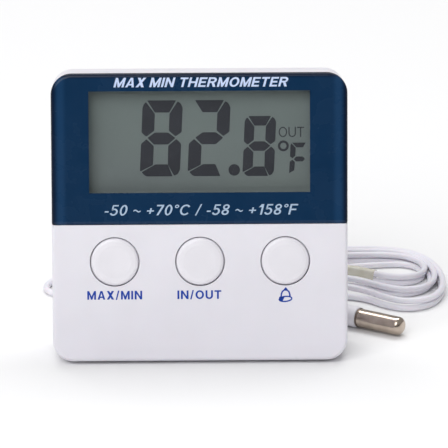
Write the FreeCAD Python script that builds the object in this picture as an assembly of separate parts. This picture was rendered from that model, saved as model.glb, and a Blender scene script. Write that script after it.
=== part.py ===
import FreeCAD, Part
import math
import os

from FreeCAD import Vector

# Digital maximum-minimum thermometer with a wired outdoor probe, standing on its fold-out leg.
# Millimetres, +Z up, -Y is the side with the display. The origin is a point of the narrow sole
# that the case stands on. The case and all it holds are drawn upright, in the case's own frame:
# X to the right, Y from the front face to the back, Z up from the bottom edge. place() then leans
# them back onto the sole. The cable and its probe are drawn where they lie on the floor.

# Case
CASE_W = 70.0
CASE_H = 68.5
CASE_D = 17.0
CORNER_R = 5.0
WALL = 1.6
SEAM_Y = 5.4            # depth of the front shell, where the rear shell starts
LEAN = math.radians(12.0)
SOLE_POINT = 5.0        # distance of the origin behind the front edge of the sole
FRONT_EDGE_R = 0.9
REAR_EDGE_R = 1.5
SEAM_R = 0.2            # both shells are eased at the seam, which leaves a fine groove

# Display
SPLIT_Z = 32.6          # lower edge of the blue panel
PANEL_FRONT = -0.4      # the panel stands a little proud of the buttons' face
PANEL_BACK = 1.2
WINDOW_W, WINDOW_Z0, WINDOW_Z1 = 52.2, 40.2, 64.3
LENS_MARGIN = 1.2
SCREEN_WALL_BACK = 2.8
GLASS_W, GLASS_Z0, GLASS_Z1 = 53.8, 37.2, 66.0
LEDGE_Z = 39.6          # the rear glass stops here and leaves the contact ledge free
GLASS_T = 0.7
FILM_T = 0.15

# Board
BOARD_W, BOARD_Z0, BOARD_Z1 = 55.2, 13.0, 47.5
BOARD_FRONT, BOARD_T = 7.4, 1.2
BOARD_BACK = BOARD_FRONT + BOARD_T
BOARD_POSTS = [(side * 25.0, z) for side in (-1, 1) for z in (15.8, 31.5)]

# Buttons
BUTTON_Z = 23.8
BUTTON_PITCH = 20.2
BUTTON_R, BUTTON_HOLE_R = 5.65, 5.9
BUTTONS = {"max_min": -BUTTON_PITCH, "in_out": 0.0, "alarm": BUTTON_PITCH}

# Fasteners
CASE_POSTS = [(side * x, z) for side in (-1, 1) for x, z in ((30.0, 8.0), (30.6, 60.5))]
POST_END = 8.0          # front posts end here and meet the rear posts
SCREW_SEAT = 9.6

# Battery, size AAA, lying across the top of the case
BATTERY_R, BATTERY_L = 5.25, 44.5
BATTERY_Y, BATTERY_Z = 10.3, 57.5
BAY_W = 51.8            # inside width of the battery bay
BAY_Z0, BAY_Z1 = 51.6, 63.4
RIB = 1.2
DOOR_W, DOOR_Z0, DOOR_T = 51.0, 52.1, 1.3
DOOR_AXIS = (CASE_D - DOOR_T, 64.8)
DOOR_GAP = 0.2
STUB_R = 0.6

# Fold-out leg
LEG_W, LEG_T = 22.4, 2.1
LEG_POCKET_W, LEG_POCKET_Y = 22.8, 14.5
LEG_AXIS = (14.9, 47.0)
LEG_BARREL_R = 1.9
LEG_OPEN = math.radians(20.0)
PIN_R, PIN_L = 0.8, 26.4

# Unit switch, sounder and air vents
SWITCH_X, SWITCH_Z, SWITCH_TRAVEL = -18.0, 17.0, 2.5
SOUNDER_X, SOUNDER_Z, SOUNDER_R = -20.5, 30.5, 6.5
VENT_X, VENT_ZS, VENT_W, VENT_T = 21.0, (22.0, 25.0, 28.0, 31.0), 11.0, 1.2

# Cable, probe and hank
CABLE_D = 1.6
GLAND_X, GLAND_Z, GLAND_TIP = 24.0, 8.5, 22.0
PROBE_R, PROBE_L, PROBE_WALL, PROBE_DOME_R = 2.25, 12.5, 0.3, 1.5
NECK_L = 2.0            # the tube is drawn down a little where it sits in the sleeve
SLEEVE_R, SLEEVE_L = 2.6, 9.0
PROBE_HEADING = math.radians(-34.2)
PROBE_JOIN = Vector(39.0, 15.2, SLEEVE_R)    # where the metal tube leaves the sleeve
HANK_H = 3.6
HANK_BENDS = [(-34.3, 43.9, 6.9), (50.2, 37.0, 12.4), (49.4, 56.0, 12.6), (24.0, 57.5, 9.6)]
TAPE_MIDDLE, TAPE_TURN = (38.0, 51.2), math.radians(-28.0)
TAPE_L, TAPE_W, TAPE_T = 15.0, 7.4, 0.15

SOLE_LIFT = SEAM_Y * math.sin(LEAN)
SOLE_SHIFT = SEAM_Y * math.cos(LEAN) + SOLE_POINT
TO_LEAN = FreeCAD.Placement(
    Vector(0, -SOLE_SHIFT, SOLE_LIFT), FreeCAD.Rotation(Vector(1, 0, 0), -math.degrees(LEAN))
)


def lean_point(x, y, z):
    """A point of the case's frame, as it stands."""
    return TO_LEAN.multVec(Vector(x, y, z))


def place(shape):
    """A shape of the case's frame, as it stands."""
    moved = shape.copy()
    moved.Placement = TO_LEAN.multiply(moved.Placement)
    return moved


def box(x0, x1, y0, y1, z0, z1):
    return Part.makeBox(x1 - x0, y1 - y0, z1 - z0, Vector(x0, y0, z0))


def wide_box(width, y0, y1, z0, z1, x=0.0):
    """A box that is symmetric about the plane at x."""
    return box(x - width / 2, x + width / 2, y0, y1, z0, z1)


def rod(radius, start, end):
    start, end = Vector(*start), Vector(*end)
    return Part.makeCylinder(radius, (end - start).Length, start, end - start)


def rod_y(radius, x, z, y0, y1):
    return rod(radius, (x, y0, z), (x, y1, z))


def rod_x(radius, y, z, x0, x1):
    return rod(radius, (x0, y, z), (x1, y, z))


def plate(width, z0, z1, y0, y1, low_r, high_r):
    """A plate across the case with rounded corners, upright, from y0 to y1."""
    half = width / 2
    corners = [(-half, z0, low_r), (half, z0, low_r), (half, z1, high_r), (-half, z1, high_r)]
    edges, first, last = [], None, None
    for i, (x, z, r) in enumerate(corners):
        before, after = corners[i - 1], corners[(i + 1) % 4]
        here = Vector(x, y0, z)
        back = (Vector(before[0], y0, before[1]) - here).normalize()
        on = (Vector(after[0], y0, after[1]) - here).normalize()
        start, end = here + back * r, here + on * r
        middle = here + (back + on) * (r * (1 - math.sqrt(0.5)))
        if last is not None:
            edges.append(Part.LineSegment(last, start).toShape())
        edges.append(Part.Arc(start, middle, end).toShape())
        first, last = first or start, end
    edges.append(Part.LineSegment(last, first).toShape())
    return Part.Face(Part.Wire(edges)).extrude(Vector(0, y1 - y0, 0))


def soften(shape, radius, where):
    """Rounds the edges that where(middle of the edge's box) picks."""
    edges = [e for e in shape.Edges if where(e.BoundBox)]
    return shape.makeFillet(radius, edges)


def flat_at(y):
    """Picks edges that lie wholly in the plane at y."""
    return lambda b: abs(b.YMin - y) < 1e-4 and abs(b.YMax - y) < 1e-4


def turned(profile, start, heading):
    """A solid of revolution: profile is (distance along heading from start, radius) pairs."""
    corners = [(profile[0][0], 0.0)] + profile + [(profile[-1][0], 0.0)]
    outline = Part.makePolygon([Vector(r, 0, d) for d, r in corners + corners[:1]])
    solid = Part.Face(outline).revolve(Vector(0, 0, 0), Vector(0, 0, 1), 360)
    solid.Placement = FreeCAD.Placement(start, FreeCAD.Rotation(Vector(0, 0, 1), heading))
    return solid


def tube(points, diameter, name=None):
    """A round cable along straight runs that are joined by tangent arcs."""
    points = [Vector(*p) for p in points]
    edges, here = [], points[0]
    for before, corner, after in zip(points, points[1:], points[2:]):
        back, on = before - corner, after - corner
        half_turn = (math.pi - back.getAngle(on)) / 2
        reach = 0.45 * min(back.Length, on.Length)
        radius = reach / math.tan(half_turn)
        start = corner + back.normalize() * reach
        end = corner + on.normalize() * reach
        centre = corner + (back + on).normalize() * (radius / math.cos(half_turn))
        middle = centre + (corner - centre).normalize() * radius
        edges += [Part.LineSegment(here, start).toShape(), Part.Arc(start, middle, end).toShape()]
        here = end
        if name:
            print(f"{name}: arc radius {radius:.1f} mm, {radius / diameter:.1f} diameters")
    edges.append(Part.LineSegment(here, points[-1]).toShape())
    section = Part.Wire(Part.makeCircle(diameter / 2, points[0], points[1] - points[0]))
    solid = Part.Wire(edges).makePipeShell([section], True, True)
    if name:
        length = sum(e.Length for e in edges)
        expected = math.pi * diameter**2 / 4 * length
        print(f"{name}: {length:.1f} mm long, volume {solid.Volume:.2f} of {expected:.2f} mm3")
    return solid


def join(shapes):
    return shapes[0].multiFuse(shapes[1:]).removeSplitter()


# ---- Case shells -------------------------------------------------------------------------


def front_shell():
    outer = plate(CASE_W, 0, CASE_H, 0, SEAM_Y, CORNER_R, CORNER_R)
    outer = soften(outer, FRONT_EDGE_R, flat_at(0))
    outer = soften(outer, SEAM_R, flat_at(SEAM_Y))
    inner_w, inner_r = CASE_W - 2 * WALL, CORNER_R - WALL
    hollow = plate(inner_w, WALL, CASE_H - WALL, SCREEN_WALL_BACK, SEAM_Y + 1, inner_r, inner_r)
    lower_hollow = plate(inner_w, WALL, SPLIT_Z - WALL, WALL, SEAM_Y + 1, inner_r, 0.5)
    shell = outer.cut([hollow, lower_hollow])
    shell = shell.cut(wide_box(CASE_W + 2, -1, PANEL_BACK, SPLIT_Z, CASE_H + 1))
    screen = wide_box(WINDOW_W + 1, PANEL_BACK - 1, SEAM_Y, WINDOW_Z0 - 0.5, WINDOW_Z1 + 0.5)
    holes = [rod_y(BUTTON_HOLE_R, x, BUTTON_Z, -1, SEAM_Y) for x in BUTTONS.values()]
    posts = [rod_y(2.5, x, z, WALL - 0.2, POST_END) for x, z in CASE_POSTS]
    posts += [rod_y(1.9, x, z, WALL - 0.2, BOARD_FRONT) for x, z in BOARD_POSTS]
    pilots = [rod_y(1.0, x, z, 3.4, POST_END + 1) for x, z in CASE_POSTS]
    pilots += [rod_y(0.7, x, z, 4.0, BOARD_FRONT + 1) for x, z in BOARD_POSTS]
    return join([shell.cut([screen] + holes)] + posts).cut(pilots)


def sole_cut(offset=0.0):
    """Everything below the sole's plane, or below one that is offset upwards."""
    rise = math.tan(LEAN)
    raised = offset / math.cos(LEAN)
    far = CASE_D + 10
    corners = [(-10, -30), (far, -30), (far, (far - SEAM_Y) * rise + raised),
               (SEAM_Y, raised), (-10, raised)]
    wire = Part.makePolygon([Vector(-CASE_W, y, z) for y, z in corners + corners[:1]])
    return Part.Face(wire).extrude(Vector(2 * CASE_W, 0, 0))


def leg_pocket(grow):
    """The space for the folded leg and its barrel, grown by a wall all round."""
    y, z = LEG_AXIS
    flat = wide_box(LEG_POCKET_W + 2 * grow, LEG_POCKET_Y - grow, CASE_D + 1, -1, z)
    round_end = rod_x(LEG_BARREL_R + 0.3 + grow, y, z, -LEG_POCKET_W / 2 - grow, LEG_POCKET_W / 2 + grow)
    mouth = wide_box(LEG_POCKET_W + 2 * grow, y, CASE_D + 1, z, z + LEG_BARREL_R + 0.3 + grow)
    return join([flat, round_end, mouth])


def rear_shell():
    outer = plate(CASE_W, 0, CASE_H, SEAM_Y, CASE_D, CORNER_R, CORNER_R)
    outer = soften(outer, REAR_EDGE_R, flat_at(CASE_D))
    outer = soften(outer, SEAM_R, flat_at(SEAM_Y)).cut(sole_cut())
    inner_w, inner_r = CASE_W - 2 * WALL, CORNER_R - WALL
    hollow = plate(inner_w, WALL, CASE_H - WALL, SEAM_Y - 1, CASE_D - WALL, inner_r, inner_r)
    shell = outer.cut(hollow.cut([sole_cut(WALL), leg_pocket(WALL)]))

    back = CASE_D - WALL
    cheek_y, cheek_z = LEG_AXIS
    ribs = [wide_box(BAY_W + 2 * RIB, SEAM_Y + 0.2, back, BAY_Z0 - RIB, BAY_Z0)]
    ribs += [wide_box(BAY_W + 2 * RIB, SEAM_Y + 0.2, 13.8, BAY_Z1, BAY_Z1 + RIB)]
    for side in (-1, 1):
        x = side * (BAY_W + RIB) / 2
        ribs.append(wide_box(RIB, SEAM_Y + 0.2, back + 0.2, BAY_Z0 - RIB, CASE_H - WALL, x))
        x = side * (PIN_L / 2 - 0.4)
        ribs.append(wide_box(1.8, cheek_y - 2.6, back + 0.2, cheek_z - 3, cheek_z + 3, x))
    ribs += [rod_y(2.9, x, z, POST_END + 0.05, back + 0.2) for x, z in CASE_POSTS]
    seat = rod_y(SOUNDER_R + 1.2, SOUNDER_X, SOUNDER_Z, 14.0, back + 0.2)
    ribs.append(seat.cut([
        rod_y(SOUNDER_R + 0.1, SOUNDER_X, SOUNDER_Z, 13.0, 14.8),
        rod_y(SOUNDER_R - 0.7, SOUNDER_X, SOUNDER_Z, 13.0, back),
    ]))
    shell = join([shell] + ribs)

    cuts = [leg_pocket(0)]
    cuts.append(wide_box(DOOR_W + 2 * DOOR_GAP, 13.0, CASE_D + 1, DOOR_Z0 - DOOR_GAP, 66.3))
    cuts.append(rod_x(STUB_R + 0.05, *DOOR_AXIS, -BAY_W / 2 - RIB, BAY_W / 2 + RIB))
    cuts.append(rod_x(PIN_R + 0.02, *LEG_AXIS, -PIN_L / 2, PIN_L / 2))
    cuts += [rod_y(2.2, x, z, SCREW_SEAT, CASE_D + 1) for x, z in CASE_POSTS]
    cuts += [rod_y(1.2, x, z, POST_END - 1, CASE_D) for x, z in CASE_POSTS]
    for z in VENT_ZS:
        cuts.append(wide_box(VENT_W, back - 1, CASE_D + 1, z - VENT_T / 2, z + VENT_T / 2, VENT_X))
    cuts.append(rod_y(0.6, SOUNDER_X, SOUNDER_Z, back - 1, CASE_D + 1))
    for i in range(6):
        angle = i * math.pi / 3
        x, z = SOUNDER_X + 3.2 * math.cos(angle), SOUNDER_Z + 3.2 * math.sin(angle)
        cuts.append(rod_y(0.6, x, z, back - 1, CASE_D + 1))
    cuts.append(wide_box(6.8, back - 1, CASE_D + 1, SWITCH_Z - 1.4, SWITCH_Z + 1.4, SWITCH_X))
    cuts.append(rod_y(2.2, GLAND_X, GLAND_Z, back - 1, CASE_D + 1))
    for side in (-1, 1):
        cuts.append(wide_box(1.4, 7.5, 12.5, BAY_Z0 - RIB - 1, BAY_Z0 + 1, side * (BAY_W / 2 - 0.4)))
    return shell.cut(cuts)


def display_bezel():
    panel = plate(CASE_W, SPLIT_Z, CASE_H, PANEL_FRONT, PANEL_BACK, 0.6, CORNER_R)
    panel = soften(panel, FRONT_EDGE_R, flat_at(PANEL_FRONT))
    window = wide_box(WINDOW_W, PANEL_FRONT - 1, PANEL_BACK + 1, WINDOW_Z0, WINDOW_Z1)
    rebate = wide_box(WINDOW_W + 2 * LENS_MARGIN, 0.3, PANEL_BACK + 1,
                      WINDOW_Z0 - LENS_MARGIN, WINDOW_Z1 + LENS_MARGIN)
    return panel.cut([window, rebate])


def display_window():
    margin = LENS_MARGIN - 0.1
    return wide_box(WINDOW_W + 2 * margin, 0.3, PANEL_BACK - 0.05, WINDOW_Z0 - margin, WINDOW_Z1 + margin)


# ---- Display module ----------------------------------------------------------------------


def display_layers():
    """The films and glasses of the liquid crystal display, from front to back."""
    y = SCREEN_WALL_BACK
    film_w, film_z0, film_z1 = GLASS_W - 0.4, LEDGE_Z + 0.2, GLASS_Z1 - 0.2
    layers = {}
    for name, thick, width, z0, z1 in (
        ("lcd_polarizer", FILM_T, film_w, film_z0, film_z1),
        ("lcd_front_glass", GLASS_T, GLASS_W, GLASS_Z0, GLASS_Z1),
        ("lcd_rear_glass", GLASS_T, GLASS_W, LEDGE_Z, GLASS_Z1),
        ("lcd_reflector", FILM_T, film_w, film_z0, film_z1),
    ):
        layers[name] = wide_box(width, y, y + thick, z0, z1)
        y += thick
    return layers


def lcd_frame():
    outer = plate(GLASS_W + 2.2, GLASS_Z0 - 2.2, CASE_H - WALL - 0.1, 2.9, 4.9, 0.5, 0.5)
    bed = wide_box(GLASS_W + 0.3, 0, 6, GLASS_Z0 - 0.15, GLASS_Z1 + 0.15)
    return outer.cut(bed)


def elastomer_connector():
    y = SCREEN_WALL_BACK + FILM_T + GLASS_T
    strip = wide_box(48.0, y, BOARD_FRONT, GLASS_Z0 + 0.2, LEDGE_Z - 0.4)
    return soften(strip, 0.3, lambda b: b.XLength > 40)


# ---- Circuit board -----------------------------------------------------------------------


def circuit_board():
    board = plate(BOARD_W, BOARD_Z0, BOARD_Z1, BOARD_FRONT, BOARD_BACK, 1.0, 1.0)
    holes = [rod_y(0.9, x, z, BOARD_FRONT - 1, BOARD_BACK + 1) for x, z in BOARD_POSTS]
    return board.cut(holes)


def chip_blob():
    blob = rod_y(4.5, 6, 38, BOARD_BACK, BOARD_BACK + 1.5)
    return soften(blob, 1.2, flat_at(BOARD_BACK + 1.5))


def smd_parts():
    places = [(-4, 42), (-1, 42), (14, 42), (14, 36), (-4, 30), (12, 30), (17, 39), (20, 42)]
    return Part.makeCompound(
        [wide_box(2.0, BOARD_BACK, BOARD_BACK + 0.8, z - 0.6, z + 0.6, x) for x, z in places])


def indoor_thermistor():
    y = BOARD_BACK + 2.6
    legs = [tube([(x, BOARD_BACK, 26.5), (x, y, 26.5), (21.5, y, 23.4)], 0.5) for x in (20.4, 22.6)]
    bead = Part.makeSphere(1.2, Vector(21.5, y, 23.0))
    return join([bead] + legs)


def switch_bodies():
    bodies = []
    for x in BUTTONS.values():
        body = wide_box(6, 4.3, BOARD_FRONT, BUTTON_Z - 3, BUTTON_Z + 3, x)
        bodies.append(body.cut(rod_y(1.8, x, BUTTON_Z, 4.0, 5.9)))
    return Part.makeCompound(bodies)


def switch_plunger(x):
    return rod_y(1.7, x, BUTTON_Z, 3.5, 5.2)


def button_cap(x):
    crown = turned([(0.0, 3.9), (0.14, 4.9), (0.38, 5.4), (0.75, BUTTON_R), (2.05, BUTTON_R)],
                   Vector(x, -0.3, BUTTON_Z), Vector(0, 1, 0))
    flange = rod_y(6.6, x, BUTTON_Z, 1.75, 2.75)
    stem = rod_y(2.0, x, BUTTON_Z, 2.7, 3.5)
    return join([crown, flange, stem])


def unit_switch():
    body = wide_box(9.0, BOARD_BACK, 12.6, SWITCH_Z - 2.4, SWITCH_Z + 2.4, SWITCH_X)
    body = body.cut(wide_box(7.2, 11.4, 13.0, SWITCH_Z - 1.25, SWITCH_Z + 1.25, SWITCH_X))
    x = SWITCH_X - SWITCH_TRAVEL / 2
    knob = wide_box(3.6, 11.5, 16.4, SWITCH_Z - 1.1, SWITCH_Z + 1.1, x)
    knob = soften(knob, 0.35, flat_at(16.4))
    grooves = [wide_box(0.35, 16.1, 17, SWITCH_Z - 2, SWITCH_Z + 2, x + dx) for dx in (-0.9, 0.0, 0.9)]
    return body, knob.cut(grooves)


def sounder():
    disc = rod_y(SOUNDER_R, SOUNDER_X, SOUNDER_Z, 14.5, 14.8)
    ceramic = rod_y(SOUNDER_R - 2.0, SOUNDER_X, SOUNDER_Z, 14.3, 14.5)
    return disc, ceramic


def sounder_wires():
    wires = []
    for dx, y0 in ((-1.5, 14.3), (5.4, 14.5)):
        x = SOUNDER_X + dx
        z = SOUNDER_Z
        wires.append(tube([(x, y0, z), (x, 12.0, z), (x + 1.5, 11.0, z + 4), (x + 3, 10.5, z + 8),
                           (x + 3, BOARD_BACK, z + 8)], 0.9))
    return Part.makeCompound(wires)


# ---- Battery bay -------------------------------------------------------------------------


def aaa_battery():
    half = BATTERY_L / 2
    profile = [(0.0, 3.6), (0.0, BATTERY_R - 0.4), (0.4, BATTERY_R), (BATTERY_L - 1.5, BATTERY_R),
               (BATTERY_L - 1.0, BATTERY_R - 0.5), (BATTERY_L - 1.0, 1.9), (BATTERY_L, 1.9)]
    return turned(profile, Vector(-half, BATTERY_Y, BATTERY_Z), Vector(1, 0, 0))


def terminal_plate(side):
    """A bent plate against the bay's side rib, with a solder tab through the floor of the bay."""
    x = side * (BAY_W / 2 - 0.2)
    plate_box = wide_box(0.4, BATTERY_Y - 4.5, BATTERY_Y + 4.5, BAY_Z0, BAY_Z1 - 0.5, x)
    tab = wide_box(0.4, BATTERY_Y - 1.5, BATTERY_Y + 1.5, BAY_Z0 - 3.4, BAY_Z0 + 1, x)
    return join([plate_box, tab])


def positive_contact():
    boss = rod_x(2.0, BATTERY_Y, BATTERY_Z, BATTERY_L / 2, BAY_W / 2 - 0.3)
    return join([terminal_plate(1), soften(boss, 0.6, lambda b: b.XMax < BATTERY_L / 2 + 0.01)])


def negative_spring():
    """A conical coil between the plate and the flat end of the cell."""
    start, end = -BAY_W / 2 + 0.4, -BATTERY_L / 2
    wire_r = 0.3
    height = (end - start) - 2 * wire_r
    helix = Part.makeHelix(height / 2.0, height, 3.6, -12.0)
    ring = Part.Wire(Part.makeCircle(wire_r, helix.Vertexes[0].Point, Vector(0, 1, 0)))
    coil = Part.Wire(helix).makePipeShell([ring], True, False)
    coil.Placement = FreeCAD.Placement(Vector(start + wire_r, BATTERY_Y, BATTERY_Z),
                                       FreeCAD.Rotation(Vector(0, 0, 1), Vector(1, 0, 0)))
    return coil


def battery_wires():
    wires = []
    for side in (-1, 1):
        x = side * (BAY_W / 2 - 0.2)
        z = BAY_Z0 - 3.4
        y = BATTERY_Y
        wires.append(tube([(x, y, z), (x, y, z - 2.0), (x - side * 0.8, y + 0.4, z - 4.2),
                           (x - side * 2.4, y, z - 5.4), (x - side * 2.4, BOARD_BACK, z - 5.4)], 0.9))
    return Part.makeCompound(wires)


def battery_door():
    y, z = DOOR_AXIS
    sheet = wide_box(DOOR_W, y, CASE_D, DOOR_Z0, z)
    barrel = rod_x(DOOR_T, y, z, -DOOR_W / 2, DOOR_W / 2)
    stubs = rod_x(STUB_R, y, z, -DOOR_W / 2 - 1.2, DOOR_W / 2 + 1.2)
    nail_cut = wide_box(14.0, CASE_D - 0.7, CASE_D + 1, DOOR_Z0 - 1, DOOR_Z0 + 1.6)
    ribs = [wide_box(0.8, y - 0.1, CASE_D - 0.5, DOOR_Z0 + 0.4, z, x) for x in (-12.0, 12.0)]
    return join([sheet, barrel, stubs] + ribs).cut(nail_cut)


# ---- Leg ---------------------------------------------------------------------------------


def stand_leg():
    """Drawn folded flat into its pocket, with its foot on the floor when it is swung out."""
    y, z = LEG_AXIS
    foot_r = LEG_T / 2
    middle_y = LEG_POCKET_Y + 0.2 + foot_r
    pivot = lean_point(0, y, z)
    lean_out = LEG_OPEN - LEAN
    reach = (pivot.z + (middle_y - y) * math.sin(lean_out) - foot_r) / math.cos(lean_out)
    blade = wide_box(LEG_W, middle_y - foot_r, middle_y + foot_r, z - reach, z)
    foot = rod_x(foot_r, middle_y, z - reach, -LEG_W / 2, LEG_W / 2)
    barrel = rod_x(LEG_BARREL_R, y, z, -LEG_W / 2, LEG_W / 2)
    bore = rod_x(PIN_R + 0.05, y, z, -LEG_W, LEG_W)
    light = wide_box(LEG_W - 8, middle_y + 0.1, CASE_D + 1, z - reach + 5, z - 7)
    leg = join([blade, foot, barrel]).cut([bore, light])
    leg.rotate(Vector(0, y, z), Vector(1, 0, 0), math.degrees(LEG_OPEN))
    return leg


# ---- Fasteners ---------------------------------------------------------------------------


def screw(x, z, seat, tip, head_r, head_t, shank_r):
    """A pan head screw driven from the back, with a cross recess."""
    head = soften(rod_y(head_r, x, z, seat, seat + head_t), head_t * 0.45, flat_at(seat + head_t))
    body = join([head, rod_y(shank_r, x, z, tip, seat)])
    slot = head_r * 0.32
    cross = [wide_box(4 * slot, seat + head_t * 0.45, seat + 9, z - slot / 2, z + slot / 2, x),
             wide_box(slot, seat + head_t * 0.45, seat + 9, z - 2 * slot, z + 2 * slot, x)]
    return body.cut(cross)


# ---- Cable and probe ---------------------------------------------------------------------


def cable_gland():
    profile = [(0.0, 2.9), (0.8, 2.9), (0.8, 2.15), (2.4, 2.15), (2.4, 2.9), (3.2, 2.7),
               (3.2, 2.0), (GLAND_TIP - CASE_D + 2.4, 1.2)]
    return turned(profile, Vector(GLAND_X, CASE_D - 2.4, GLAND_Z), Vector(0, 1, 0))


def cable_inside():
    route = [(GLAND_X, CASE_D - 2.4, GLAND_Z), (GLAND_X, 11.8, GLAND_Z), (22.6, 10.8, 11.2),
             (20.8, 10.6, 14.6), (20.8, BOARD_BACK, 14.6)]
    return tube(route, CABLE_D)


def lead_route():
    """From the gland's tip down to the floor and into the near side of the hank."""
    tip = lean_point(GLAND_X, GLAND_TIP, GLAND_Z)
    return [tuple(tip), (24.0, 17.6, 3.9), (23.6, 22.4, 1.2), (22.8, 27.6, 0.8), (23.6, 32.6, 0.8)]


def tail_route():
    """From the near side of the hank over the lead to the back end of the probe's sleeve."""
    back_end = PROBE_JOIN - along_probe(SLEEVE_L)
    return [(10.8, 33.3, 1.3), (17.6, 30.0, 2.4), (24.2, 25.6, 2.8), tuple(back_end)]


def along_probe(distance):
    return Vector(math.cos(PROBE_HEADING), math.sin(PROBE_HEADING), 0) * distance


def probe_pieces():
    heading = along_probe(1)
    sleeve = turned([(0, 1.2), (1.4, 1.5), (3.2, 2.3), (3.8, SLEEVE_R), (SLEEVE_L, SLEEVE_R)],
                    PROBE_JOIN - along_probe(SLEEVE_L), heading)
    start = PROBE_JOIN - along_probe(NECK_L)
    end = PROBE_JOIN + along_probe(PROBE_L)
    neck_r = PROBE_R - 0.2
    socket = Part.makeCylinder(neck_r + 0.02, 2 * NECK_L, start, heading)
    tip = Part.makeCylinder(PROBE_R, PROBE_L, PROBE_JOIN, heading)
    rim = [e for e in tip.Edges if e.BoundBox.Center.distanceToPoint(end) < 0.5]
    neck = Part.makeCylinder(neck_r, NECK_L + 0.5, start, heading)
    body = join([tip.makeFillet(PROBE_DOME_R, rim), neck])
    inside = Part.makeCylinder(neck_r - PROBE_WALL, NECK_L + PROBE_L - 2 * PROBE_WALL - 0.8, start, heading)
    bead_place = PROBE_JOIN + along_probe(PROBE_L - 4.0)
    bead = Part.makeSphere(1.2, bead_place)
    side = Vector(-heading.y, heading.x, 0) * 0.6
    legs = [Part.makeCylinder(0.25, PROBE_L - 2.0, start + side * k, heading) for k in (-1, 1)]
    return {
        "probe_sleeve": sleeve.cut(socket),
        "probe_tube": body.cut(inside),
        "probe_thermistor": join([bead] + legs),
    }


def hull_of_circles(circles, z0, z1):
    """A flat solid that a belt round these circles (x, y, radius) would enclose, counter-clockwise."""
    edges, ends = [], []
    for (x0, y0, r0), (x1, y1, r1) in zip(circles, circles[1:] + circles[:1]):
        gap = math.hypot(x1 - x0, y1 - y0)
        normal = math.atan2(y1 - y0, x1 - x0) - math.acos((r0 - r1) / gap)
        ends.append((Vector(x0 + r0 * math.cos(normal), y0 + r0 * math.sin(normal), z0),
                     Vector(x1 + r1 * math.cos(normal), y1 + r1 * math.sin(normal), z0), normal))
    for i, (start, end, normal) in enumerate(ends):
        x, y, r = circles[(i + 1) % len(circles)]
        after, _, next_normal = ends[(i + 1) % len(ends)]
        turn = (next_normal - normal) % (2 * math.pi)
        middle = Vector(x + r * math.cos(normal + turn / 2), y + r * math.sin(normal + turn / 2), z0)
        edges += [Part.LineSegment(start, end).toShape(), Part.Arc(end, middle, after).toShape()]
    return Part.Face(Part.Wire(edges)).extrude(Vector(0, 0, z1 - z0))


def hank_and_tape():
    """The coiled cable's outer shape, and the clear tape round some of its turns."""
    x, y = TAPE_MIDDLE
    band = wide_box(TAPE_L, y - TAPE_W / 2, y + TAPE_W / 2, 0, HANK_H, x)
    filling = wide_box(TAPE_L + 2, y - TAPE_W / 2 + TAPE_T, y + TAPE_W / 2 - TAPE_T,
                       TAPE_T, HANK_H - TAPE_T, x)
    tape = band.cut(filling)
    tape.rotate(Vector(x, y, 0), Vector(0, 0, 1), math.degrees(TAPE_TURN))
    hank = hull_of_circles(HANK_BENDS, 0, HANK_H)
    return hank.cut(tape), tape


# ---- The whole ---------------------------------------------------------------------------


def case_nodes():
    """Every piece that leans with the case, in the case's frame."""
    switch_body, switch_knob = unit_switch()
    sounder_disc, sounder_ceramic = sounder()
    nodes = {
        "front_shell": front_shell(),
        "rear_shell": rear_shell(),
        "display_bezel": display_bezel(),
        "display_window": display_window(),
        "lcd_frame": lcd_frame(),
        "elastomer_connector": elastomer_connector(),
        "circuit_board": circuit_board(),
        "chip_blob": chip_blob(),
        "smd_parts": smd_parts(),
        "crystal": rod_x(1.0, BOARD_BACK + 1.0, 34, -12, -6),
        "indoor_thermistor": indoor_thermistor(),
        "tact_switches": switch_bodies(),
        "unit_switch_body": switch_body,
        "unit_switch_knob": switch_knob,
        "sounder_disc": sounder_disc,
        "sounder_ceramic": sounder_ceramic,
        "sounder_wires": sounder_wires(),
        "aaa_battery": aaa_battery(),
        "positive_contact": positive_contact(),
        "negative_plate": terminal_plate(-1),
        "negative_spring": negative_spring(),
        "battery_wires": battery_wires(),
        "battery_door": battery_door(),
        "stand_leg": stand_leg(),
        "stand_pin": rod_x(PIN_R, *LEG_AXIS, -PIN_L / 2, PIN_L / 2),
        "case_screws": Part.makeCompound(
            [screw(x, z, SCREW_SEAT, 3.8, 2.0, 1.4, 1.0) for x, z in CASE_POSTS]),
        "board_screws": Part.makeCompound(
            [screw(x, z, BOARD_BACK, 4.4, 1.6, 1.0, 0.7) for x, z in BOARD_POSTS]),
        "cable_gland": cable_gland(),
        "cable_inside": cable_inside(),
    }
    nodes.update(display_layers())
    for name, x in BUTTONS.items():
        nodes[f"button_{name}"] = button_cap(x)
        nodes[f"plunger_{name}"] = switch_plunger(x)
    return nodes


def floor_nodes():
    """The cable and its probe, where they lie."""
    hank, tape = hank_and_tape()
    nodes = {
        "cable_lead": tube(lead_route(), CABLE_D, "cable_lead").cut(hank),
        "cable_tail": tube(tail_route(), CABLE_D, "cable_tail").cut(hank),
        "cable_hank": hank,
        "hank_tape": tape,
    }
    nodes.update(probe_pieces())
    return nodes


os.makedirs("parts", exist_ok=True)
shapes = {name: place(shape) for name, shape in case_nodes().items()}
shapes.update(floor_nodes())
for node, shape in shapes.items():
    solids = shape.Solids
    if not shape.isValid() or not solids or min(s.Volume for s in solids) <= 0:
        raise SystemExit(f"{node} isn't a sound solid")
    shape.exportStep(f"parts/{node}.step")
print(len(shapes), "nodes; leg pivot", lean_point(0, *LEG_AXIS), "door pivot", lean_point(0, *DOOR_AXIS))
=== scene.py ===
import math

import bmesh
import bpy
from mathutils import Matrix, Vector


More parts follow.
